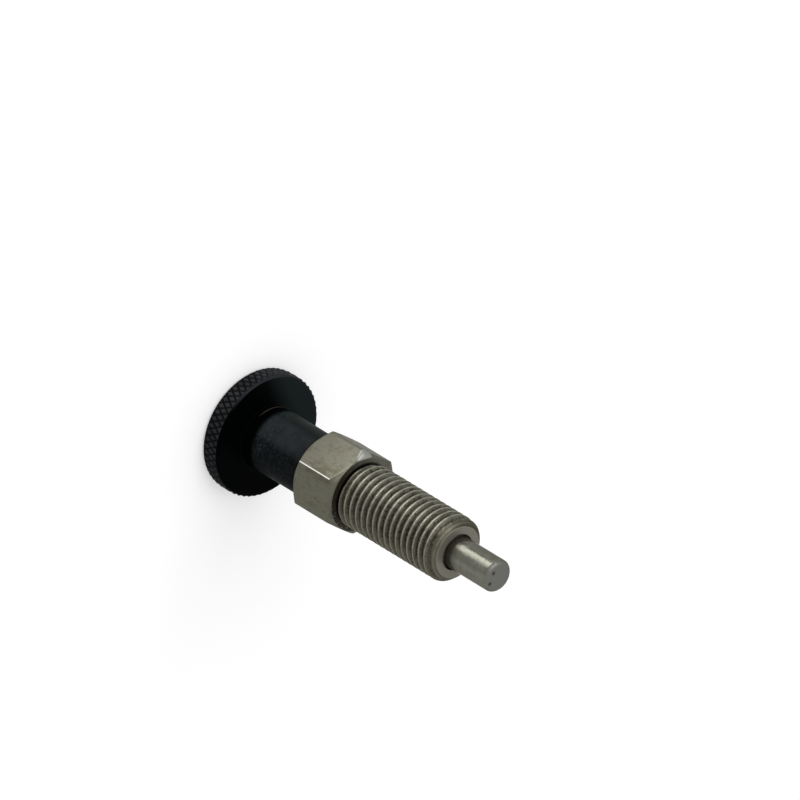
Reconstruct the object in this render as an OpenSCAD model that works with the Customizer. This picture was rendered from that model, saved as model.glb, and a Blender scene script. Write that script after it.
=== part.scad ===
// Spring-loaded index plunger. It stands on its knob: z = 0 is the knob's flat outer face,
// and the axis runs up through the stem, the hexagon and the threaded barrel to the pin's tip.

/* [Knob] */
// Diameter over the knurled rim
knob_d = 23; // [18:0.5:30]
// Height of the rim
rim_h = 3.8; // [3:0.1:6]
// Chamfer on both edges of the rim
rim_chamfer = 0.7; // [0.4:0.05:1]
// Distance between the knurl's crests round the rim
knurl_pitch = 1.29; // [1:0.01:2]
// Depth of the knurl
knurl_depth = 0.28; // [0.2:0.01:0.4]
// Angle of the knurl's grooves to the axis
knurl_angle = 30; // [20:1:40]
// Diameter of the stem
stem_d = 11.7; // [9:0.1:13]
// Fillet where the stem leaves the rim
stem_fillet = 0.4; // [0.2:0.1:2]
// Whole length of the knob, from its outer face to the end of the stem
knob_l = 19; // [15:0.5:26]
// Chamfer on the end of the stem
stem_chamfer = 0.3; // [0.1:0.05:0.6]
// Length of the pin's rod that is fixed in the knob
rod_grip = 10; // [6:0.5:11]

/* [Threaded body] */
// Width of the hexagon across its flats
hex_af = 14; // [13:0.5:17]
// Length of the hexagon
hex_l = 10.1; // [7:0.1:14]
// Diameter of the hexagon's flat face at the knob's end
back_face_d = 13.8; // [12.5:0.1:14]
// Diameter of the hexagon's flat shoulder at the thread's end
shoulder_d = 13.7; // [12.5:0.1:14]
// Outer diameter of the thread
thread_d = 12; // [11:0.5:13]
// Pitch of the thread, which sets its depth at the relief groove
thread_pitch = 1.5; // [1:0.25:1.75]
// Length of the relief groove between the hexagon and the thread
relief_l = 1.2; // [1.2:0.1:3]
// Length from the hexagon to the end of the barrel
barrel_l = 25.2; // [20:0.1:40]
// Chamfer on the end of the barrel
end_chamfer = 1.25; // [0.6:0.05:1.5]
// Thickness of the wall at the hexagon's end of the spring chamber
back_wall = 4.5; // [3:0.5:8]
// Broken edge at the mouth of the bore
mouth_chamfer = 0.1; // [0.05:0.05:0.4]

/* [Index pin] */
// Diameter of the locating end
pin_d = 6; // [5:0.1:6]
// Diameter of the part that slides in the bore
guide_d = 6.4; // [6.4:0.1:7.5]
// Length of the part that slides in the bore
guide_l = 11.2; // [8:0.1:14]
// Depth of the guide's front end below the end of the barrel at rest
root_depth = 0.1; // [0.05:0.05:0.15]
// Length of the locating end that stands out of the barrel
pin_reach = 10.7; // [6:0.1:12]
// Chamfer on the tip of the pin
tip_chamfer = 0.6; // [0.2:0.05:0.8]

/* [Return spring] */
// Diameter of the spring's wire
wire_d = 0.65; // [0.4:0.05:0.8]
// Turns between the two closed ends
active_turns = 8; // [5:1:9]

/* [Clearances] */
// Gap all round the pin and the rod where they slide
slide_gap = 0.05; // [0.02:0.01:0.1]
// Gap between the spring and the walls round it
spring_gap = 0.22; // [0.15:0.01:0.3]
// Gap round the rod where it is fixed in the knob
fixed_gap = 0.02; // [0.01:0.01:0.05]
// Gap at each end of the spring
seat_gap = 0.04; // [0.02:0.01:0.1]

/* [Hidden] */
$fn = 96;
cut = 0.01;

// Heights along the axis
shoulder_z = knob_l + hex_l;
thread_z = shoulder_z + relief_l;
barrel_z = shoulder_z + barrel_l;
tip_z = barrel_z + pin_reach;
chamber_z = knob_l + back_wall;
root_z = barrel_z - root_depth;
collar_z = root_z - guide_l;
rod_z = knob_l - rod_grip;

// Radii
knob_r = knob_d / 2;
stem_r = stem_d / 2;
thread_r = thread_d / 2;
thread_depth = 0.65 * thread_pitch;
relief_r = thread_r - thread_depth;
pin_r = pin_d / 2;
guide_r = guide_d / 2;
bore_r = guide_r + slide_gap;
coil_r = bore_r - spring_gap - wire_d / 2;
rod_r = coil_r - wire_d / 2 - spring_gap;

// Hexagon: each end is turned to a round face, at 30 degrees by the knob and 45 by the thread
hex_corner_r = hex_af / 2 / cos(30);
back_chamfer_h = (hex_corner_r - back_face_d / 2) * tan(30);
shoulder_chamfer_h = hex_corner_r - shoulder_d / 2;

// Knurl: a multiple of four crests, so that the rim is as wide one way as the other
knurl_crests = 4 * round(PI * knob_d / knurl_pitch / 4);
knurl_twist = rim_h * tan(knurl_angle) / knob_r * 180 / PI;
knurl_slices = 4;

// Spring: a closed turn at each end and an even pitch between them
closed_turns = 1;
turns = active_turns + 2 * closed_turns;
spring_z = chamber_z + seat_gap + wire_d / 2;
spring_l = collar_z - chamber_z - 2 * seat_gap - wire_d;
active_pitch = (spring_l - 2 * closed_turns * wire_d) / active_turns;
wire_sides = 8;
rings_per_turn = 14;

// Disc whose rim has slanted teeth, leaning one way or the other
module toothed_disc(lean) {
    teeth = [
        for (i = [0 : 2 * knurl_crests - 1])
            let (r = i % 2 == 0 ? knob_r : knob_r - knurl_depth, a = 180 * i / knurl_crests)
                r * [cos(a), sin(a)]
    ];
    linear_extrude(rim_h, twist = lean * knurl_twist, slices = knurl_slices) polygon(teeth);
}

// Rim with a diamond knurl: what two discs that lean opposite ways share, chamfered at both edges
module knurled_rim() {
    resize([knob_d, knob_d, rim_h]) intersection() {
        toothed_disc(1);
        toothed_disc(-1);
        rotate_extrude() polygon([
            [0, 0],
            [knob_r - rim_chamfer, 0],
            [knob_r, rim_chamfer],
            [knob_r, rim_h - rim_chamfer],
            [knob_r - rim_chamfer, rim_h],
            [0, rim_h],
        ]);
    }
}

// Stem of the knob, with a fillet at its root
module stem() {
    fillet_z = rim_h + stem_fillet;
    fillet_r = stem_r + stem_fillet;
    rotate_extrude() difference() {
        polygon([
            [0, rim_h - cut],
            [fillet_r, rim_h - cut],
            [fillet_r, fillet_z],
            [stem_r, fillet_z],
            [stem_r, knob_l - stem_chamfer],
            [stem_r - stem_chamfer, knob_l],
            [0, knob_l],
        ]);
        translate([fillet_r, fillet_z]) circle(stem_fillet);
    }
}

// Turned knob: a knurled rim to pull by, a stem, and a blind hole for the pin's rod
module knob() {
    color("#1e2023")
    difference() {
        union() {
            knurled_rim();
            stem();
        }
        translate([0, 0, rod_z]) cylinder(h = rod_grip + cut, r = rod_r + fixed_gap);
    }
}

// Hexagon with a corner on +X and both ends turned round
module hexagon() {
    intersection() {
        translate([0, 0, knob_l]) cylinder(h = hex_l, r = hex_corner_r, $fn = 6);
        rotate_extrude() polygon([
            [0, knob_l],
            [back_face_d / 2, knob_l],
            [hex_corner_r, knob_l + back_chamfer_h],
            [hex_corner_r, shoulder_z - shoulder_chamfer_h],
            [shoulder_d / 2, shoulder_z],
            [0, shoulder_z],
        ]);
    }
}

// Barrel at the thread's outer diameter, with the relief groove and the end chamfer
module barrel() {
    rotate_extrude() polygon([
        [0, shoulder_z - cut],
        [relief_r, shoulder_z - cut],
        [relief_r, thread_z - thread_depth],
        [thread_r, thread_z],
        [thread_r, barrel_z - end_chamfer],
        [thread_r - end_chamfer, barrel_z],
        [0, barrel_z],
    ]);
}

// One turned piece: hexagon and barrel, bored from the front for the pin and its spring
module threaded_body() {
    color("#8d8b83")
    difference() {
        union() {
            hexagon();
            barrel();
        }
        translate([0, 0, chamber_z]) cylinder(h = barrel_z - chamber_z + cut, r = bore_r);
        translate([0, 0, knob_l - cut]) cylinder(h = back_wall + 2 * cut, r = rod_r + slide_gap);
        translate([0, 0, barrel_z - mouth_chamfer])
            cylinder(h = mouth_chamfer + cut, r1 = bore_r, r2 = bore_r + mouth_chamfer + cut);
    }
}

// Turned pin: the locating end in front, the guide that the spring pushes, and the rod to the knob
module index_pin() {
    color("#b9b8b2")
    rotate_extrude() polygon([
        [0, rod_z],
        [rod_r, rod_z],
        [rod_r, collar_z],
        [guide_r, collar_z],
        [guide_r, root_z - (guide_r - pin_r)],
        [pin_r, root_z],
        [pin_r, tip_z - tip_chamfer],
        [pin_r - tip_chamfer, tip_z],
        [0, tip_z],
    ]);
}

// Height of the wire's middle after a number of turns
function wire_height(t) =
    t < closed_turns ? t * wire_d :
    t > turns - closed_turns ? spring_l - (turns - t) * wire_d :
    closed_turns * wire_d + (t - closed_turns) * active_pitch;

// Corner of the wire's section after a number of turns, at an angle round the wire
function wire_point(t, a) = [
    (coil_r + wire_d / 2 * cos(a)) * cos(360 * t),
    (coil_r + wire_d / 2 * cos(a)) * sin(360 * t),
    spring_z + wire_height(t) + wire_d / 2 * sin(a),
];

// Compression spring round the rod, swept as one closed tube
module return_spring() {
    rings = turns * rings_per_turn;
    points = [
        for (i = [0 : rings], k = [0 : wire_sides - 1])
            wire_point(i / rings_per_turn, 360 * k / wire_sides)
    ];
    walls = [
        for (i = [0 : rings - 1], k = [0 : wire_sides - 1])
            let (n = (k + 1) % wire_sides, a = i * wire_sides, b = a + wire_sides)
                [a + k, a + n, b + n, b + k]
    ];
    first_end = [for (k = [wire_sides - 1 : -1 : 0]) k];
    last_end = [for (k = [0 : wire_sides - 1]) rings * wire_sides + k];
    color("#9a9b9c") polyhedron(points, concat(walls, [first_end, last_end]));
}

knob();
threaded_body();
index_pin();
return_spring();
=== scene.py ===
import math

import bmesh
import bpy
from mathutils import Matrix, Vector


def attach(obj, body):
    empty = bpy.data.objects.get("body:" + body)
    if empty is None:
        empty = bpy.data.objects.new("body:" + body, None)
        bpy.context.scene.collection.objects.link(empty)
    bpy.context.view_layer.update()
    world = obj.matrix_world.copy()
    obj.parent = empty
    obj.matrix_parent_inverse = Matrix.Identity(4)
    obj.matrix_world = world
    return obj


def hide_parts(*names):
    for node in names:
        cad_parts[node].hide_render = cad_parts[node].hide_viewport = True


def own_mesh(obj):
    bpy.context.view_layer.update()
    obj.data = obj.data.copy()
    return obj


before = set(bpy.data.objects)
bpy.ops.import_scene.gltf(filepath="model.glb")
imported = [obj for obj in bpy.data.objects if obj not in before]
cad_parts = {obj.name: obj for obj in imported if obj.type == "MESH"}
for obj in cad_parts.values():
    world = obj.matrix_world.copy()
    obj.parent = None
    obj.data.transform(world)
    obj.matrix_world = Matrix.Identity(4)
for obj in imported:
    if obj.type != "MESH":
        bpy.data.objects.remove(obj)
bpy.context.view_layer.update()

# Knob: a pull knob turned from steel bar, with a diamond knurl rolled into its rim and a plain
# stem behind it. It is blackened all over, and the blind hole in its stem holds the pin's rod.
MM = 0.001
knob_r = 11.5
rim_h = 3.8
rim_chamfer = 0.5
stem_r = 5.85
stem_fillet = 0.4
stem_end = 19.0
stem_chamfer = 0.3
rod_r = 2.16
rod_start = 9.0
socket_r = rod_r + 0.02
knurl_crests = 56
knurl_depth = 0.28
knurl_angle = math.radians(30)
columns_per_crest = 8
chamfer_steps = (0.25, 0.6, 0.74, 0.87, 1)
fillet_steps = 6
edge_hold = 0.15
face_ring = 2
stem_edge = 0.1
knob_sharp_angle = 60
root_shade_end = (6.0, 7.4)
speck_fade = (12.0, 8.0)
root_highlight_heights = (4.55, 4.72)
painted_sheen_side = 0
speck_highlight_side = 85
painted_shade_side = 165
stem_highlight_side = 96
edge_sheen_side = 28
crest_highlight_side = 60
chamfer_highlight_side = 70
root_highlight_side = 58
black_coat = (0.0003, 0.0005, 0.0006, 1)
painted_sheen_coat = (0.0105, 0.0145, 0.0155, 1)
stem_grey = (0.0105, 0.0128, 0.0145, 1)
stem_painted_shade = (0.0048, 0.0058, 0.0068, 1)
stem_highlight = (0.026, 0.0292, 0.032, 1)
green_edge_sheen = (0.019, 0.024, 0.0205, 1)
speck_highlight = (0.033, 0.044, 0.045, 1)
bare_crest = (0.034, 0.036, 0.04, 1)
crest_highlight = (0.054, 0.056, 0.059, 1)
chamfer_highlight = (0.024, 0.025, 0.029, 1)
root_highlight = (0.05, 0.044, 0.034, 1)
dust = (0.035, 0.035, 0.033, 1)


def eased(outline, steps=3):
    """Points of an outline whose corners (radius, height, edge) become arcs of that edge."""
    points = []
    for i, (r, z, edge) in enumerate(outline):
        corner = Vector((r, z))
        if not edge:
            points.append(corner)
            continue
        before = (Vector(outline[i - 1][:2]) - corner).normalized()
        after = (Vector(outline[i + 1][:2]) - corner).normalized()
        half = before.angle(after) / 2
        middle = corner + (before + after).normalized() * edge / math.sin(half)
        first = corner + before * edge / math.tan(half) - middle
        last = corner + after * edge / math.tan(half) - middle
        points += [middle + first.slerp(last, k / steps) * edge for k in range(steps + 1)]
    return [tuple(point) for point in points]


def turned(name, outline, columns):
    """Revolves an outline in millimetres. A radius or a height may depend on the angle."""
    work = bmesh.new()
    rings = []
    for r, z in outline:
        angles = [2 * math.pi * c / columns for c in range(1 if r == 0 else columns)]
        ring = []
        for a in angles:
            radius = r(a) if callable(r) else r
            height = z(a) if callable(z) else z
            point = Vector((radius * math.cos(a), radius * math.sin(a), height))
            ring.append(work.verts.new(point * MM))
        rings.append(ring)
    for low, high in zip(rings, rings[1:]):
        for c in range(columns):
            n = (c + 1) % columns
            if len(low) == 1:
                corners = (low[0], high[n], high[c])
            elif len(high) == 1:
                corners = (low[c], low[n], high[0])
            else:
                corners = (low[c], low[n], high[n], high[c])
            work.faces.new(corners)
    bmesh.ops.recalc_face_normals(work, faces=work.faces)
    mesh = bpy.data.meshes.new(name)
    work.to_mesh(mesh)
    work.free()
    piece = bpy.data.objects.new(name, mesh)
    bpy.context.scene.collection.objects.link(piece)
    return piece


def connect(tree, node, inputs):
    """Feeds a node's sockets, each from another socket or with a fixed value."""
    for key, value in inputs.items():
        if isinstance(value, bpy.types.NodeSocket):
            tree.links.new(value, node.inputs[key])
        else:
            node.inputs[key].default_value = value


def place(tree, kind, inputs, **settings):
    """Adds a node to a tree with its settings and inputs."""
    node = tree.nodes.new(kind)
    for key, value in settings.items():
        setattr(node, key, value)
    connect(tree, node, inputs)
    return node


def math_node(tree, operation, *values):
    """Result of a sum on sockets and fixed values."""
    node = place(tree, "ShaderNodeMath", dict(enumerate(values)), operation=operation)
    return node.outputs[0]


def new_tree(name, inputs, outputs, kind="GeometryNodeTree"):
    """A node tree with named sockets, and its input and output nodes."""
    tree = bpy.data.node_groups.new(name, kind)
    for title, socket in inputs.items():
        tree.interface.new_socket(title, in_out="INPUT", socket_type=socket)
    for title, socket in outputs.items():
        tree.interface.new_socket(title, in_out="OUTPUT", socket_type=socket)
    return tree, tree.nodes.new("NodeGroupInput").outputs, tree.nodes.new("NodeGroupOutput")


def softened(piece, sharp_angle):
    """Turns a closed mesh's faces outwards and shades it smooth between its sharp edges."""
    work = bmesh.new()
    work.from_mesh(piece.data)
    bmesh.ops.recalc_face_normals(work, faces=work.faces)
    work.to_mesh(piece.data)
    work.free()
    piece.data.shade_smooth()
    piece.data.set_sharp_from_angle(angle=math.radians(sharp_angle))


def worked(piece, tree, values, sharp_angle):
    """Runs a Geometry Nodes tree on a piece with named values and keeps the result as its mesh."""
    modifier = piece.modifiers.new(tree.name, "NODES")
    modifier.node_group = tree
    for item in tree.interface.items_tree:
        if item.name in values:
            modifier[item.identifier] = values[item.name]
    made = piece.evaluated_get(bpy.context.evaluated_depsgraph_get())
    mesh = bpy.data.meshes.new_from_object(made)
    piece.modifiers.remove(modifier)
    piece.data = mesh
    softened(piece, sharp_angle)


def finished(tree, geometry, material, output):
    """Ends a tree: real geometry, in its material."""
    real = place(tree, "GeometryNodeRealizeInstances", {"Geometry": geometry})
    dressed = place(
        tree, "GeometryNodeSetMaterial", {"Geometry": real.outputs[0], "Material": material}
    )
    tree.links.new(dressed.outputs[0], output.inputs[0])


# Grain as a tool leaves it: noise that can be drawn out along the axis or round it
grain, given, result = new_tree(
    "tool_grain",
    {"Across": "NodeSocketFloat", "Along": "NodeSocketFloat"},
    {"Grain": "NodeSocketFloat"},
    "ShaderNodeTree",
)
spot = place(grain, "ShaderNodeTexCoord", {})
drawn = place(grain, "ShaderNodeCombineXYZ", {0: given[0], 1: given[0], 2: given[1]})
spread = place(
    grain,
    "ShaderNodeVectorMath",
    {0: spot.outputs["Object"], 1: drawn.outputs[0]},
    operation="MULTIPLY",
)
noise = place(grain, "ShaderNodeTexNoise", {"Vector": spread.outputs[0], "Scale": 1, "Detail": 4})
grain.links.new(noise.outputs[0], result.inputs[0])


def axis_height(tree):
    """Height along the axis."""
    spot = place(tree, "ShaderNodeTexCoord", {}).outputs["Object"]
    return place(tree, "ShaderNodeSeparateXYZ", {0: spot}).outputs[2]


def axis_distance(tree):
    """Distance from the axis."""
    spot = place(tree, "ShaderNodeTexCoord", {}).outputs["Object"]
    flat = place(tree, "ShaderNodeVectorMath", {0: spot, 1: (1, 1, 0)}, operation="MULTIPLY")
    length = place(tree, "ShaderNodeVectorMath", {0: flat.outputs[0]}, operation="LENGTH")
    return length.outputs["Value"]


def between(tree, value, low, high, start=0.0, end=1.0):
    """Value brought smoothly from one range to another."""
    node = place(
        tree,
        "ShaderNodeMapRange",
        {0: value, 1: low, 2: high, 3: start, 4: end},
        interpolation_type="SMOOTHSTEP",
    )
    return node.outputs[0]


# Mask by the distance from the axis, for crests and corners that rub, grooves that hold dirt, and
# painted shade, highlights and glow
radius_mask, given, result = new_tree(
    "radius_mask",
    {"Inner": "NodeSocketFloat", "Outer": "NodeSocketFloat"},
    {"Mask": "NodeSocketFloat"},
    "ShaderNodeTree",
)
mask = between(radius_mask, axis_distance(radius_mask), given["Inner"], given["Outer"])
radius_mask.links.new(mask, result.inputs[0])


def grain_of(tree, across, along):
    """Grain with so many marks to a millimetre across and along the axis."""
    inputs = {"Across": across / MM, "Along": along / MM}
    return place(tree, "ShaderNodeGroup", inputs, node_tree=grain).outputs[0]


def beyond(tree, inner, outer):
    """Mask that rises between two distances from the axis, in millimetres."""
    inputs = {"Inner": inner * MM, "Outer": outer * MM}
    return place(tree, "ShaderNodeGroup", inputs, node_tree=radius_mask).outputs[0]


def within(tree, inner, outer):
    """Mask that falls between two distances from the axis, in millimetres."""
    return math_node(tree, "SUBTRACT", 1.0, beyond(tree, inner, outer))


def along_axis(tree, height, low, high, start=0.0, end=1.0):
    """Value that changes smoothly between two heights in millimetres."""
    return between(tree, height, low * MM, high * MM, start, end)


def band(tree, height, start, end, soft):
    """Mask that is full between two heights in millimetres and fades outside them."""
    return math_node(
        tree,
        "MULTIPLY",
        along_axis(tree, height, start - soft, start),
        along_axis(tree, height, end + soft, end),
    )


def facing(tree, azimuth, low, high, rise=0):
    """Mask by how far a point lies out towards an azimuth, and up by a share of its height."""
    spot = place(tree, "ShaderNodeTexCoord", {}).outputs["Object"]
    towards = (math.cos(math.radians(azimuth)), math.sin(math.radians(azimuth)), rise)
    out = place(tree, "ShaderNodeVectorMath", {0: spot, 1: towards}, operation="DOT_PRODUCT")
    return between(tree, out.outputs["Value"], low * MM, high * MM)


def both_of(tree, first, *others):
    """Mask that is full only where all its masks are."""
    for other in others:
        first = math_node(tree, "MULTIPLY", first, other)
    return first


def mixed(tree, share, first, second):
    """Colour between two colours."""
    node = place(tree, "ShaderNodeMix", {0: share, 6: first, 7: second}, data_type="RGBA")
    return node.outputs[2]


def raised(tree, height, depth, strength):
    """Normal of a surface whose height varies by a depth in millimetres."""
    node = place(
        tree, "ShaderNodeBump", {"Height": height, "Distance": depth * MM, "Strength": strength}
    )
    return node.outputs[0]


def new_finish(name):
    """A new material, its tree and its shader."""
    material = bpy.data.materials.new(name)
    material.use_nodes = True
    return material, material.node_tree, material.node_tree.nodes["Principled BSDF"]


black_oxide, tree, shader = new_finish("black_oxide")
height = axis_height(tree)
specks = grain_of(tree, 3.0, 3.0)
blots = grain_of(tree, 1.8, 1.8)
patches = grain_of(tree, 0.35, 0.35)
dust_grains = grain_of(tree, 1.9, 1.9)

# The stem is painted darker in blotches on one side: painted shade.
blotched_shade = both_of(tree, between(tree, blots, 0.36, 0.56), facing(tree, painted_shade_side, 0.5, 4.0))
# A lighter strip along one side of the stem is a painted highlight, not wear.
stem_highlight_strip = both_of(
    tree, facing(tree, stem_highlight_side, 4.95, 5.75), between(tree, patches, 0.35, 0.6, 0.6, 1.0)
)
# Light specks near the stem's root, on one side only: partly grain, partly a painted highlight.
speckled_highlight = both_of(
    tree,
    between(tree, specks, 0.5, 0.66),
    along_axis(tree, height, *speck_fade, 0.15, 1.0),
    facing(tree, speck_highlight_side, -1.0, 5.0),
)
stem_coat = mixed(tree, blotched_shade, stem_grey, stem_painted_shade)
stem_coat = mixed(tree, stem_highlight_strip, stem_coat, stem_highlight)
# The stem's edge towards one side is painted a lighter green-grey: a painted sheen.
stem_coat = mixed(tree, facing(tree, edge_sheen_side, 4.2, 5.7), stem_coat, green_edge_sheen)
stem_coat = mixed(tree, speckled_highlight, stem_coat, speck_highlight)

# Below these heights the stem keeps the face's dark coat: a painted dark reflection of the face at
# the stem's root.
on_stem = along_axis(tree, height, *root_shade_end)
rubbed = both_of(
    tree,
    beyond(tree, knob_r - 0.3, knob_r - 0.07),
    between(tree, patches, 0.3, 0.7, 0.55, 1.0),
)
# A lighter band on the rim's chamfer, on one side only: a painted highlight.
lit_chamfer = both_of(
    tree,
    band(tree, height, rim_h - rim_chamfer, rim_h - 0.04, 0.03),
    beyond(tree, knob_r - rim_chamfer - 0.05, knob_r - rim_chamfer + 0.05),
    facing(tree, chamfer_highlight_side, 8.0, 10.8),
)
# A thin light line round the stem's root, on one side: a painted highlight of the fillet.
root_highlight_band = both_of(
    tree,
    band(tree, height, *root_highlight_heights, 0.08),
    within(tree, stem_r + 0.3, stem_r + 0.6),
    facing(tree, root_highlight_side, 4.6, 5.7),
)
# Rubbed crests, painted lighter still on the side towards the lamp: wear and a painted highlight.
crest_wear_and_highlight = mixed(tree, facing(tree, crest_highlight_side, 2.0, 10.0), bare_crest, crest_highlight)
# The face and the stem's root are painted a lighter grey towards one side: a painted sheen.
coat = mixed(tree, facing(tree, painted_sheen_side, 3.0, 8.0), black_coat, painted_sheen_coat)
coat = mixed(tree, on_stem, coat, stem_coat)
coat = mixed(tree, rubbed, coat, crest_wear_and_highlight)
coat = mixed(tree, lit_chamfer, coat, chamfer_highlight)
coat = mixed(tree, root_highlight_band, coat, root_highlight)
coat = mixed(tree, between(tree, dust_grains, 0.76, 0.79), coat, dust)
connect(
    tree,
    shader,
    {
        "Base Color": coat,
        "Roughness": between(tree, specks, 0.3, 0.7, 0.34, 0.52),
        "Specular IOR Level": 0.008,
        "Normal": raised(tree, specks, 0.03, 0.6),
    },
)

knurl, given, result = new_tree(
    "diamond_knurl",
    {
        "Geometry": "NodeSocketGeometry",
        "Rim radius": "NodeSocketFloat",
        "Crests": "NodeSocketFloat",
        "Depth": "NodeSocketFloat",
        "Lean": "NodeSocketFloat",
    },
    {"Geometry": "NodeSocketGeometry"},
)
here = place(knurl, "GeometryNodeInputPosition", {}).outputs[0]
x, y, z = place(knurl, "ShaderNodeSeparateXYZ", {0: here}).outputs
reach = math_node(
    knurl,
    "SQRT",
    math_node(
        knurl, "ADD", math_node(knurl, "MULTIPLY", x, x), math_node(knurl, "MULTIPLY", y, y)
    ),
)
crests_per_radian = math_node(knurl, "DIVIDE", given["Crests"], 2 * math.pi)
around = math_node(knurl, "MULTIPLY", math_node(knurl, "ARCTAN2", y, x), crests_per_radian)
slant = math_node(
    knurl, "MULTIPLY", math_node(knurl, "MULTIPLY", z, given["Lean"]), crests_per_radian
)
one_way = math_node(knurl, "PINGPONG", math_node(knurl, "ADD", around, slant), 0.5)
other_way = math_node(knurl, "PINGPONG", math_node(knurl, "SUBTRACT", around, slant), 0.5)
groove = math_node(
    knurl,
    "MULTIPLY",
    math_node(knurl, "MAXIMUM", one_way, other_way),
    math_node(knurl, "MULTIPLY", given["Depth"], 2.0),
)
rolled = math_node(
    knurl, "MINIMUM", reach, math_node(knurl, "SUBTRACT", given["Rim radius"], groove)
)
share = math_node(knurl, "DIVIDE", rolled, math_node(knurl, "MAXIMUM", reach, 1e-6))
moved = place(
    knurl,
    "ShaderNodeCombineXYZ",
    {0: math_node(knurl, "MULTIPLY", x, share), 1: math_node(knurl, "MULTIPLY", y, share), 2: z},
)
pressed = place(
    knurl,
    "GeometryNodeSetPosition",
    {"Geometry": given["Geometry"], "Position": moved.outputs[0]},
)
finished(knurl, pressed.outputs[0], black_oxide, result)

knurl_row = 2 * math.pi * knob_r / knurl_crests / columns_per_crest / math.tan(knurl_angle)
first_row = math.ceil(rim_chamfer / knurl_row)
last_row = math.floor((rim_h - rim_chamfer) / knurl_row)
rim_rows = [(knob_r, k * knurl_row) for k in range(first_row, last_row + 1)]
chamfer_rows = [(knob_r - rim_chamfer * (1 - t), rim_chamfer * t) for t in chamfer_steps]
rim_face_r = knob_r - rim_chamfer
face_rings = (rim_face_r - face_ring, rim_face_r - edge_hold, rim_face_r)
fillet_turns = [k * math.pi / 2 / fillet_steps for k in range(fillet_steps + 1)]
stem_outline = eased(
    [
        (stem_r, rim_h + stem_fillet, 0),
        (stem_r, stem_end - stem_chamfer, stem_edge),
        (stem_r - stem_chamfer, stem_end, stem_edge),
        (socket_r, stem_end, 0),
    ]
)
knob_outline = (
    [(0, 0)]
    + [(r, 0) for r in face_rings]
    + chamfer_rows
    + rim_rows
    + [(r, rim_h - z) for r, z in reversed(chamfer_rows)]
    + [(r, rim_h) for r in reversed(face_rings)]
    + [
        (stem_r + stem_fillet * (1 - math.sin(t)), rim_h + stem_fillet * (1 - math.cos(t)))
        for t in fillet_turns
    ]
    + stem_outline[1:]
    + [(socket_r, rod_start), (0, rod_start)]
)
knob = turned("pull_knob", knob_outline, knurl_crests * columns_per_crest)
worked(
    knob,
    knurl,
    {
        "Rim radius": knob_r * MM,
        "Crests": float(knurl_crests),
        "Depth": knurl_depth * MM,
        "Lean": math.tan(knurl_angle) / (knob_r * MM),
    },
    knob_sharp_angle,
)
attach(knob, "plunger")
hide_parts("knob")

# Threaded body: one piece of hexagon bar, with both ends of the hexagon chamfered in the lathe, a
# relief groove and a rolled thread. It is bored from the front, oiled and a little stained.
hex_af = 14.0
hex_corner_r = 8.03
back_face_r = 6.9
back_slope = math.tan(math.radians(42))
shoulder_r = 6.85
shoulder_z = 29.1
relief_r = 5.025
thread_r = 6.0
thread_root_r = 5.2
end_root_r = 4.78
thread_run_out = 1.8
thread_run_in_slope = 1.8
thread_pitch = 1.5
thread_angle = -148
thread_start = 29.325
crest_share = 0.125
root_share = 0.75
weld_gap = 0.002
barrel_end = 54.3
end_face_r = 4.75
tool_ring_pitch = 0.5
tool_ring_depth = 0.07
mouth_edge = 0.1
bore_r = 3.25
chamber_z = 23.5
rod_hole_r = 2.21
chamber_edge = 0.3
rod_hole_edge = 0.05
neck_edge = 0.1
ring_hold = 0.12
body_columns = 180
thread_turns = 18
thread_rows = 16
body_sharp_angle = 62
thread_dirt_start = 30.2
thread_dirt_end = 53.4
facet_highlight_side = 62
glint_corner_side = 120
handled_side = 112
shaded_neck_side = 165
crumb_side = 192
dark_thread_side = 200
bright_steel = (0.126, 0.123, 0.096, 1)
dull_steel = (0.112, 0.109, 0.084, 1)
stain = (0.078, 0.071, 0.05, 1)
glint_steel = (0.85, 0.84, 0.78, 1)
corner_steel = (0.2, 0.196, 0.165, 1)
warm_steel = (0.19, 0.181, 0.15, 1)
facet_highlight = (0.27, 0.268, 0.245, 1)
flank_steel = (0.124, 0.122, 0.097, 1)
crest_steel = (0.3, 0.294, 0.245, 1)
groove_oil = (0.068, 0.062, 0.044, 1)
dried_dirt_and_shade = (0.055, 0.047, 0.03, 1)
black_oil = (0.026, 0.021, 0.013, 1)
dark_oil_and_shade = (0.02, 0.0175, 0.011, 1)
groove_shade = (0.003, 0.0025, 0.002, 1)
debris = (0.14, 0.125, 0.1, 1)
edge_tint = (0.55, 0.55, 0.53, 1)

oiled_steel, tree, shader = new_finish("oiled_steel")
height = axis_height(tree)
blotches = grain_of(tree, 0.42, 0.3)
mottle = grain_of(tree, 1.7, 1.1)
draw_lines = grain_of(tree, 4.0, 0.18)
smears = grain_of(tree, 1.1, 0.55)
crusts = grain_of(tree, 0.7, 0.45)
flecks = grain_of(tree, 2.0, 1.6)
grit = grain_of(tree, 2.4, 2.4)

stained = both_of(
    tree, between(tree, math_node(tree, "MULTIPLY", blotches, mottle), 0.25, 0.38), 0.5
)
handled = both_of(
    tree,
    between(tree, smears, 0.4, 0.58),
    facing(tree, handled_side, 6.9, 7.6),
    band(tree, height, shoulder_z - 7.1, shoulder_z - 1.6, 1.5),
    0.85,
)
# One facet of the front chamfer, towards the lamp, is painted lighter: a painted highlight.
lit_facet = both_of(
    tree,
    facing(tree, facet_highlight_side, 35.72, 35.86, rise=1),
    band(tree, height, shoulder_z - 1.6, shoulder_z + 0.1, 0.05),
)
corners = both_of(
    tree,
    beyond(tree, hex_corner_r - 0.1, hex_corner_r - 0.01),
    between(tree, mottle, 0.35, 0.65, 0.3, 0.9),
)
# A near-white line along one corner of the hexagon only: a painted glint.
corner_glint = facing(tree, glint_corner_side, hex_corner_r - 0.06, hex_corner_r - 0.01)
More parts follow.
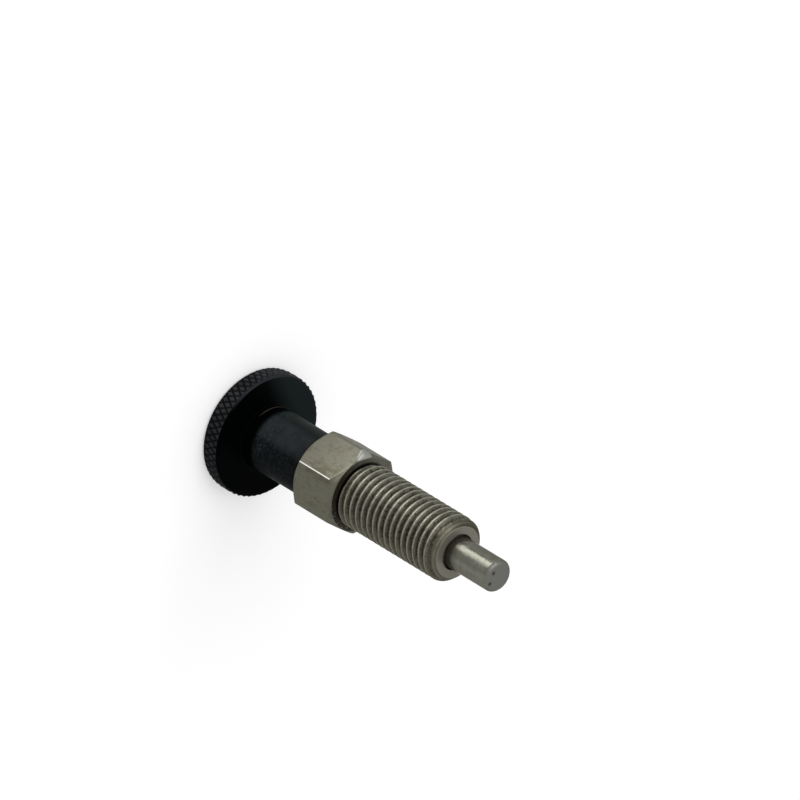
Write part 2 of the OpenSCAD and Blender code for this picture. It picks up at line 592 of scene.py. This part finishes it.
# The shoulder is darkened on one side and round the relief groove: old oil and debris, and painted
# shade, black in the groove.
shaded_low_side = both_of(tree, within(tree, 6.8, 6.92), facing(tree, shaded_neck_side, -0.5, 4.0))
all_round = within(tree, 5.75, 6.1)
in_neck = both_of(
    tree,
    band(tree, height, shoulder_z - 0.08, shoulder_z + 0.4, 0.12),
    math_node(tree, "MAXIMUM", shaded_low_side, all_round),
)
on_shoulder = both_of(
    tree,
    band(tree, height, shoulder_z - 0.04, shoulder_z + 0.04, 0.02),
    math_node(tree, "SUBTRACT", 1.0, in_neck),
)
on_end = along_axis(tree, height, barrel_end - 0.08, barrel_end - 0.01)
steel = mixed(tree, between(tree, draw_lines, 0.25, 0.75), bright_steel, dull_steel)
steel = mixed(tree, stained, steel, stain)
steel = mixed(tree, handled, steel, stain)
steel = mixed(tree, lit_facet, steel, facet_highlight)
steel = mixed(tree, corners, steel, corner_steel)
steel = mixed(tree, corner_glint, steel, glint_steel)
steel = mixed(tree, on_end, steel, warm_steel)

crest = both_of(
    tree,
    beyond(tree, thread_r - 0.1, thread_r - 0.02),
    between(tree, mottle, 0.36, 0.6, 0.45, 1.0),
)
dirty = both_of(tree, within(tree, 5.2, 5.7), between(tree, mottle, 0.3, 0.62, 0.45, 1.0))
crusted = both_of(tree, within(tree, 5.65, 5.97), between(tree, crusts, 0.44, 0.66, 0.0, 0.6))
flecked = both_of(tree, within(tree, 5.75, 5.98), between(tree, flecks, 0.52, 0.64, 0.0, 0.75))
# The thread is painted darker towards one side: painted shade, in the same colour as the dried
# dirt.
shaded = both_of(tree, facing(tree, dark_thread_side, 0.5, 5.0), 0.4)
ridge = mixed(tree, crest, flank_steel, crest_steel)
ridge = mixed(tree, dirty, ridge, groove_oil)
ridge = mixed(tree, crusted, ridge, dried_dirt_and_shade)
ridge = mixed(tree, flecked, ridge, black_oil)
ridge = mixed(tree, shaded, ridge, dried_dirt_and_shade)
on_thread = band(tree, height, thread_dirt_start, thread_dirt_end, 0.5)
steel = mixed(tree, on_thread, steel, ridge)

# On the end's 45-degree chamfer, radius and height add up to the same, and less in its grooves
end_cone = (end_face_r + barrel_end) * MM
off_cone = math_node(tree, "ADD", axis_distance(tree), height)
end_groove = both_of(
    tree,
    between(tree, off_cone, end_cone - 0.02 * MM, end_cone - 0.09 * MM),
    band(tree, height, barrel_end - 1.0, barrel_end - 0.1, 0.06),
)
steel = mixed(tree, end_groove, steel, groove_oil)

crumbs = both_of(tree, between(tree, grit, 0.55, 0.63), facing(tree, crumb_side, 4.5, 6.2))
shoulder_oil_and_shade = mixed(tree, crumbs, dark_oil_and_shade, debris)
neck_oil_and_shade = mixed(tree, beyond(tree, 5.6, 6.05), groove_shade, shoulder_oil_and_shade)
connect(
    tree,
    shader,
    {
        "Base Color": mixed(tree, in_neck, steel, neck_oil_and_shade),
        "Metallic": math_node(
            tree,
            "SUBTRACT",
            between(tree, in_neck, 0.3, 1.0, 1.0, 0.0),
            math_node(tree, "MULTIPLY", math_node(tree, "ADD", on_end, on_shoulder), 0.55),
        ),
        "Roughness": between(tree, mottle, 0.3, 0.7, 0.33, 0.46),
        "Specular IOR Level": 0.15,
        "Specular Tint": edge_tint,
        "Normal": raised(tree, draw_lines, 0.002, 0.4),
    },
)

thread, given, result = new_tree(
    "rolled_thread",
    {
        "Geometry": "NodeSocketGeometry",
        "Crest radius": "NodeSocketFloat",
        "Root radius": "NodeSocketFloat",
        "End root radius": "NodeSocketFloat",
        "Run-out": "NodeSocketFloat",
        "Run-in slope": "NodeSocketFloat",
        "Start radius": "NodeSocketFloat",
        "End radius": "NodeSocketFloat",
        "Tool ring pitch": "NodeSocketFloat",
        "Tool ring depth": "NodeSocketFloat",
        "Pitch": "NodeSocketFloat",
        "Start angle": "NodeSocketFloat",
        "Start": "NodeSocketFloat",
        "End": "NodeSocketFloat",
        "Turns": "NodeSocketFloat",
        "Columns": "NodeSocketFloat",
        "Rows": "NodeSocketFloat",
    },
    {"Geometry": "NodeSocketGeometry"},
)
columns = math_node(
    thread, "ADD", math_node(thread, "MULTIPLY", given["Turns"], given["Columns"]), 1.0
)
strip = place(
    thread,
    "GeometryNodeMeshGrid",
    {
        "Size X": 1.0,
        "Size Y": 1.0,
        "Vertices X": columns,
        "Vertices Y": math_node(thread, "ADD", given["Rows"], 1.0),
    },
)
here = place(thread, "GeometryNodeInputPosition", {}).outputs[0]
x, y, z = place(thread, "ShaderNodeSeparateXYZ", {0: here}).outputs
turn = math_node(thread, "MULTIPLY", math_node(thread, "ADD", x, 0.5), given["Turns"])
over = math_node(thread, "ADD", y, 0.5)
angle = math_node(thread, "MULTIPLY_ADD", turn, 2 * math.pi, given["Start angle"])
rise = math_node(
    thread,
    "MULTIPLY",
    math_node(thread, "SUBTRACT", math_node(thread, "ADD", turn, over), 1.0),
    given["Pitch"],
)
level = math_node(
    thread,
    "MINIMUM",
    math_node(
        thread, "MAXIMUM", math_node(thread, "ADD", given["Start"], rise), given["Start"]
    ),
    given["End"],
)
off_crest = math_node(thread, "ABSOLUTE", math_node(thread, "MULTIPLY_ADD", over, 2.0, -1.0))
root = place(
    thread,
    "ShaderNodeMapRange",
    {
        0: level,
        1: math_node(thread, "SUBTRACT", given["End"], given["Run-out"]),
        2: given["End"],
        3: given["Root radius"],
        4: given["End root radius"],
    },
).outputs[0]
profile = place(
    thread,
    "ShaderNodeMapRange",
    {0: off_crest, 1: crest_share, 2: root_share, 3: given["Crest radius"], 4: root},
).outputs[0]
run_in = math_node(
    thread,
    "MULTIPLY_ADD",
    math_node(thread, "SUBTRACT", level, given["Start"]),
    given["Run-in slope"],
    given["Start radius"],
)
from_end = math_node(thread, "SUBTRACT", given["End"], level)
ring_wave = math_node(
    thread,
    "COSINE",
    math_node(
        thread,
        "MULTIPLY",
        math_node(thread, "DIVIDE", from_end, given["Tool ring pitch"]),
        2 * math.pi,
    ),
)
tool_ring = math_node(
    thread,
    "MULTIPLY",
    math_node(thread, "MULTIPLY_ADD", ring_wave, -0.5, 0.5),
    given["Tool ring depth"],
)
run_out = math_node(
    thread,
    "SUBTRACT",
    math_node(thread, "ADD", given["End radius"], from_end),
    tool_ring,
)
reach = math_node(thread, "MINIMUM", profile, math_node(thread, "MINIMUM", run_in, run_out))
helix = place(
    thread,
    "ShaderNodeCombineXYZ",
    {
        0: math_node(thread, "MULTIPLY", reach, math_node(thread, "COSINE", angle)),
        1: math_node(thread, "MULTIPLY", reach, math_node(thread, "SINE", angle)),
        2: level,
    },
)
wound = place(
    thread,
    "GeometryNodeSetPosition",
    {"Geometry": strip.outputs["Mesh"], "Position": helix.outputs[0]},
)
joined = place(thread, "GeometryNodeJoinGeometry", {0: wound.outputs[0]})
thread.links.new(given["Geometry"], joined.inputs[0])
welded = place(
    thread,
    "GeometryNodeMergeByDistance",
    {"Geometry": joined.outputs[0], "Distance": weld_gap * MM},
)
finished(thread, welded.outputs[0], oiled_steel, result)


def hex_reach(a):
    """Distance of the hexagon's wall from the axis, with its corners a little rubbed."""
    return min(hex_af / 2 / math.cos(a % (math.pi / 3) - math.pi / 6), hex_corner_r)


def back_edge(a):
    """Height of the hexagon's edge at the knob's end."""
    return stem_end + (hex_reach(a) - back_face_r) * back_slope


def front_edge(a):
    """Height of the hexagon's edge at the thread's end."""
    return shoulder_z - (hex_reach(a) - shoulder_r)


def back_inner(a):
    """Height of the ring that keeps the edge at the knob's end crisp."""
    return back_edge(a) + edge_hold


def front_inner(a):
    """Height of the ring that keeps the edge at the thread's end crisp."""
    return front_edge(a) - edge_hold


mouth_r = bore_r + mouth_edge
bore_outline = eased(
    [
        (end_face_r, barrel_end, 0),
        (end_face_r - ring_hold, barrel_end, 0),
        (mouth_r + ring_hold, barrel_end, 0),
        (mouth_r, barrel_end, 0),
        (bore_r, barrel_end - mouth_edge, 0),
        (bore_r, barrel_end - mouth_edge - edge_hold, 0),
        (bore_r, chamber_z, chamber_edge),
        (rod_hole_r, chamber_z, rod_hole_edge),
        (rod_hole_r, stem_end, rod_hole_edge),
        (back_face_r - edge_hold, stem_end, 0),
        (back_face_r, stem_end, 0),
    ]
)
neck_outline = eased(
    [
        (shoulder_r, shoulder_z, 0),
        (shoulder_r - neck_edge, shoulder_z, 0),
        (relief_r, shoulder_z, neck_edge),
        (relief_r, thread_start, 0),
    ]
)
hex_outline = [(hex_reach, edge) for edge in (back_edge, back_inner, front_inner, front_edge)]
body_outline = bore_outline + hex_outline + neck_outline
body = turned("threaded_barrel", body_outline, body_columns)
worked(
    body,
    thread,
    {
        "Crest radius": thread_r * MM,
        "Root radius": thread_root_r * MM,
        "End root radius": end_root_r * MM,
        "Run-out": thread_run_out * MM,
        "Run-in slope": thread_run_in_slope,
        "Start radius": relief_r * MM,
        "End radius": end_face_r * MM,
        "Tool ring pitch": tool_ring_pitch * MM,
        "Tool ring depth": tool_ring_depth * MM,
        "Pitch": thread_pitch * MM,
        "Start angle": math.radians(thread_angle),
        "Start": thread_start * MM,
        "End": barrel_end * MM,
        "Turns": float(thread_turns),
        "Columns": float(body_columns),
        "Rows": float(thread_rows),
    },
    body_sharp_angle,
)
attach(body, "housing")
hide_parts("threaded_body")

# Index pin: one ground steel piece, with the locating end in front, a thicker guide that slides in
# the bore, and a thin rod that runs back through the spring into the knob.
pin_r = 3.0
pin_tip = 65.0
tip_chamfer = 0.6
pin_root = 54.2
guide_r = 3.2
guide_start = 43.0
rod_end_edge = 0.15
rod_root_edge = 0.1
guide_back_edge = 0.12
guide_front_edge = 0.08
tip_edge = 0.85
tip_ring = 0.6
edge_steps = 6
pin_columns = 128
pin_sharp_angle = 40
ground_bright = (0.15, 0.149, 0.126, 1)
ground_dull = (0.108, 0.107, 0.088, 1)
sawn_end = (0.145, 0.147, 0.132, 1)
grime_and_mouth_shade = (0.03, 0.026, 0.018, 1)
pin_mark = (0.05, 0.047, 0.038, 1)
mark_places = ((-0.61, 1.56), (-2.05, 0.21))
mark_r = 0.18
mark_fade_r = 0.5

ground_steel, tree, shader = new_finish("ground_steel")
height = axis_height(tree)
rings = grain_of(tree, 0.4, 2.6)
streaks = grain_of(tree, 0.9, 0.06)
patches = grain_of(tree, 2.2, 1.4)
polish = math_node(tree, "MULTIPLY_ADD", rings, 0.35, math_node(tree, "MULTIPLY", streaks, 0.65))
on_tip = along_axis(tree, height, pin_tip - 0.65, pin_tip - 0.1)
# Near the mouth the pin is darkened, fading out along it: some grime, and a painted dark
# reflection of the bore and the barrel's end.
near_mouth_grime_and_shade = both_of(
    tree,
    along_axis(tree, height, barrel_end + 3.4, barrel_end + 0.2),
    along_axis(tree, height, barrel_end - 0.7, barrel_end - 0.3),
    between(tree, patches, 0.3, 0.6, 0.8, 1.0),
)
ground = mixed(tree, between(tree, polish, 0.38, 0.62), ground_dull, ground_bright)
ground = mixed(tree, on_tip, ground, sawn_end)
ground = mixed(tree, near_mouth_grime_and_shade, ground, grime_and_mouth_shade)
spot = place(tree, "ShaderNodeTexCoord", {}).outputs["Object"]
for x, y in mark_places:
    away = place(
        tree,
        "ShaderNodeVectorMath",
        {0: spot, 1: (x * MM, y * MM, pin_tip * MM)},
        operation="DISTANCE",
    ).outputs["Value"]
    marked = between(tree, away, mark_fade_r * MM, mark_r * MM)
    ground = mixed(tree, marked, ground, pin_mark)
connect(
    tree,
    shader,
    {
        "Base Color": ground,
        "Metallic": between(tree, near_mouth_grime_and_shade, 0.0, 1.0, 1.0, 0.35),
        "Roughness": math_node(
            tree,
            "ADD",
            between(tree, patches, 0.35, 0.65, 0.1, 0.27),
            along_axis(tree, height, pin_tip - 0.8, pin_tip - 0.4, 0.0, 0.22),
        ),
        "Specular IOR Level": 0.1,
        "Specular Tint": edge_tint,
        "Normal": raised(tree, patches, 0.05, 0.8),
    },
)

tip_face_r = pin_r - tip_chamfer
pin_outline = eased(
    [
        (0, rod_start, 0),
        (rod_r, rod_start, rod_end_edge),
        (rod_r, guide_start, rod_root_edge),
        (guide_r, guide_start, guide_back_edge),
        (guide_r, pin_root - (guide_r - pin_r), guide_front_edge),
        (pin_r, pin_root, guide_front_edge),
        (pin_r, pin_tip - tip_chamfer, tip_edge),
        (tip_face_r, pin_tip, tip_edge),
        (tip_face_r - tip_ring, pin_tip, 0),
        (0, pin_tip, 0),
    ],
    edge_steps,
)
pin = turned("index_pin_turned", pin_outline, pin_columns)
pin.data.materials.append(ground_steel)
softened(pin, pin_sharp_angle)
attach(pin, "plunger")
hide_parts("index_pin")

# Return spring: a compression spring coiled from drawn wire, with one closed turn at each end. It
# sits loose round the rod, between the bottom of the bore and the pin's guide.
wire_r = 0.325
wire_sides = 12
coil_r = 2.705
closed_pitch = 2 * wire_r
active_turns = 8
spring_turns = active_turns + 2
seat_gap = 0.04
spring_start = chamber_z + seat_gap + wire_r
spring_length = guide_start - chamber_z - 2 * seat_gap - 2 * wire_r
active_pitch = (spring_length - 2 * closed_pitch) / active_turns
rings_per_turn = 40
spring_sharp_angle = 60
wire_bright = (0.3, 0.3, 0.3, 1)
wire_dark = (0.15, 0.15, 0.152, 1)

drawn_wire, tree, shader = new_finish("drawn_wire")
die_lines = grain_of(tree, 2.0, 6.0)
connect(
    tree,
    shader,
    {
        "Base Color": mixed(tree, between(tree, die_lines, 0.3, 0.7), wire_dark, wire_bright),
        "Metallic": 1.0,
        "Roughness": between(tree, die_lines, 0.3, 0.7, 0.26, 0.42),
        "Normal": raised(tree, die_lines, 0.006, 0.4),
    },
)

coil, given, result = new_tree(
    "closed_coil",
    {
        "Geometry": "NodeSocketGeometry",
        "Coil radius": "NodeSocketFloat",
        "Wire radius": "NodeSocketFloat",
        "Start": "NodeSocketFloat",
        "Closed pitch": "NodeSocketFloat",
        "Active pitch": "NodeSocketFloat",
        "Turns": "NodeSocketFloat",
        "Rings": "NodeSocketFloat",
    },
    {"Geometry": "NodeSocketGeometry"},
)
line = place(coil, "GeometryNodeCurvePrimitiveLine", {"End": (0, 0, 1)})
path = place(
    coil,
    "GeometryNodeResampleCurve",
    {
        "Curve": line.outputs[0],
        "Count": math_node(
            coil, "ADD", math_node(coil, "MULTIPLY", given["Turns"], given["Rings"]), 1.0
        ),
    },
)
along = place(coil, "GeometryNodeSplineParameter", {}).outputs["Factor"]
turn = math_node(coil, "MULTIPLY", along, given["Turns"])
angle = math_node(coil, "MULTIPLY", turn, 2 * math.pi)
active = math_node(
    coil,
    "MAXIMUM",
    math_node(
        coil,
        "SUBTRACT",
        math_node(coil, "MINIMUM", turn, math_node(coil, "SUBTRACT", given["Turns"], 1.0)),
        1.0,
    ),
    0.0,
)
climb = math_node(
    coil,
    "ADD",
    math_node(coil, "MULTIPLY", active, given["Active pitch"]),
    math_node(
        coil, "MULTIPLY", math_node(coil, "SUBTRACT", turn, active), given["Closed pitch"]
    ),
)
helix = place(
    coil,
    "ShaderNodeCombineXYZ",
    {
        0: math_node(coil, "MULTIPLY", given["Coil radius"], math_node(coil, "COSINE", angle)),
        1: math_node(coil, "MULTIPLY", given["Coil radius"], math_node(coil, "SINE", angle)),
        2: math_node(coil, "ADD", given["Start"], climb),
    },
)
wound = place(
    coil,
    "GeometryNodeSetPosition",
    {"Geometry": path.outputs[0], "Position": helix.outputs[0]},
)
section = place(
    coil,
    "GeometryNodeCurvePrimitiveCircle",
    {"Resolution": wire_sides, "Radius": given["Wire radius"]},
    mode="RADIUS",
)
wire = place(
    coil,
    "GeometryNodeCurveToMesh",
    {"Curve": wound.outputs[0], "Profile Curve": section.outputs[0], "Fill Caps": True},
)
finished(coil, wire.outputs[0], drawn_wire, result)

spring = bpy.data.objects.new("spring_coil", bpy.data.meshes.new("spring_coil"))
bpy.context.scene.collection.objects.link(spring)
worked(
    spring,
    coil,
    {
        "Coil radius": coil_r * MM,
        "Wire radius": wire_r * MM,
        "Start": spring_start * MM,
        "Closed pitch": closed_pitch * MM,
        "Active pitch": active_pitch * MM,
        "Turns": float(spring_turns),
        "Rings": float(rings_per_turn),
    },
    spring_sharp_angle,
)
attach(spring, "spring")
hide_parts("return_spring")
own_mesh(spring)

# Floor: a matt white table top. Steel mirrors it, and on one side the table top itself glows for
# reflections only, a painted highlight in the steel like a long soft box. The knob stands on it,
# so it goes with the
# knob: a pull then shows as the body lifting off, and the knob doesn't sink into the table.
floor_half = 2.0
floor_drop = 0.05
floor_white = (0.8, 0.8, 0.8, 1)
floor_lift = 0.33
glow_edge = math.radians(61)
glow_end = math.radians(46)
glow_full = math.radians(2)
glow_edge_soft = (-0.02, 0.03)
glow_strength = 4.6
glow_near = 27
glow_far = 62


def seen_white(tree):
    """Mask of the rays that see a white ground: the camera's and those off steel and glass."""
    ray = place(tree, "ShaderNodeLightPath", {}).outputs
    mirrored = math_node(tree, "MAXIMUM", ray["Is Glossy Ray"], ray["Is Transmission Ray"])
    return math_node(tree, "MAXIMUM", ray["Is Camera Ray"], mirrored)


def lean_to(tree, way, azimuth):
    """Cosine of the angle between a way and an azimuth."""
    towards = (math.cos(azimuth), math.sin(azimuth), 0)
    node = place(tree, "ShaderNodeVectorMath", {0: way, 1: towards}, operation="DOT_PRODUCT")
    return node.outputs["Value"]


table_white = bpy.data.materials.new("table_white")
table_white.use_nodes = True
tree = table_white.node_tree
tree.nodes.remove(tree.nodes["Principled BSDF"])
matt = place(tree, "ShaderNodeBsdfDiffuse", {"Color": floor_white})
spot = place(tree, "ShaderNodeNewGeometry", {}).outputs["Position"]
flat = place(tree, "ShaderNodeVectorMath", {0: spot, 1: (1, 1, 0)}, operation="MULTIPLY")
unit = place(tree, "ShaderNodeVectorMath", {0: flat.outputs[0]}, operation="NORMALIZE")
off_edge = lean_to(tree, unit.outputs[0], glow_edge)
past_edge = lean_to(tree, unit.outputs[0], glow_edge + math.pi / 2)
# This glow, seen only by glossy rays, is painted light for the steel's highlight, not a lamp.
glow = both_of(
    tree,
    between(tree, off_edge, math.cos(glow_end), math.cos(glow_full)),
    between(tree, past_edge, *glow_edge_soft),
    beyond(tree, glow_near, glow_far),
    glow_strength,
)
mirrored = place(tree, "ShaderNodeLightPath", {}).outputs["Is Glossy Ray"]
lift = math_node(tree, "MULTIPLY", seen_white(tree), floor_lift)
shine = place(
    tree,
    "ShaderNodeEmission",
    {"Strength": math_node(tree, "MULTIPLY_ADD", mirrored, glow, lift)},
)
both = place(tree, "ShaderNodeAddShader", {0: matt.outputs[0], 1: shine.outputs[0]})
tree.links.new(both.outputs[0], tree.nodes["Material Output"].inputs[0])
table_white.cycles.emission_sampling = "NONE"

floor_mesh = bpy.data.meshes.new("table")
floor_mesh.from_pydata(
    [
        (x * floor_half, y * floor_half, -floor_drop * MM)
        for x, y in ((-1, -1), (1, -1), (1, 1), (-1, 1))
    ],
    [],
    [(0, 1, 2, 3)],
)
floor_mesh.materials.append(table_white)
table = bpy.data.objects.new("table", floor_mesh)
bpy.context.scene.collection.objects.link(table)
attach(table, "plunger")

# Light: a pale room all round, which the camera and the steel see as white, and one soft square
# lamp that hangs above the table, to one side.
room_level = 0.72
lamp_azimuth = math.radians(60)
lamp_elevation = math.radians(48)
lamp_distance = 0.6
lamp_size = 0.45
lamp_power = 1.1
lamp_aim = Vector((0, 0, 30)) * MM


def direction(azimuth, elevation):
    """Unit vector from the object, by the angle from +X and the angle above the table."""
    flat = math.cos(elevation)
    return Vector((flat * math.cos(azimuth), flat * math.sin(azimuth), math.sin(elevation)))


room = bpy.data.worlds.new("pale_room")
bpy.context.scene.world = room
room.use_nodes = True
tree = room.node_tree
connect(
    tree,
    tree.nodes["Background"],
    {
        "Color": (1, 1, 1, 1),
        "Strength": math_node(tree, "MAXIMUM", seen_white(tree), room_level),
    },
)


def aimed(item, place_at, target, roll=0.0):
    """Stands a lamp or a camera at a place, looking at a target."""
    look = (target - place_at).to_track_quat("-Z", "Y").to_matrix()
    turn = look @ Matrix.Rotation(roll, 3, "Z")
    item.matrix_world = Matrix.Translation(place_at) @ turn.to_4x4()


soft_lamp = bpy.data.lights.new("soft_lamp", "AREA")
soft_lamp.size = lamp_size
soft_lamp.energy = lamp_power
lamp = bpy.data.objects.new("soft_lamp", soft_lamp)
bpy.context.scene.collection.objects.link(lamp)
aimed(lamp, lamp_aim + direction(lamp_azimuth, lamp_elevation) * lamp_distance, lamp_aim)

# Camera: a long lens that looks down on the standing part and is rolled, so that it lies across
# the picture with its pin to the lower right.
view_aim = Vector((15.471, 7.259, 25.402)) * MM
view_azimuth = math.radians(115.137)
view_elevation = math.radians(41.105)
view_distance = 3.415
view_roll = math.radians(121.064)
sensor_width = 36
focal_length = 900

lens = bpy.data.cameras.new("long_lens")
lens.sensor_width = sensor_width
lens.lens = focal_length
camera = bpy.data.objects.new("camera", lens)
bpy.context.scene.collection.objects.link(camera)
view_from = view_aim + direction(view_azimuth, view_elevation) * view_distance
aimed(camera, view_from, view_aim, view_roll)
bpy.context.scene.camera = camera
bpy.context.scene.view_settings.view_transform = "Standard"
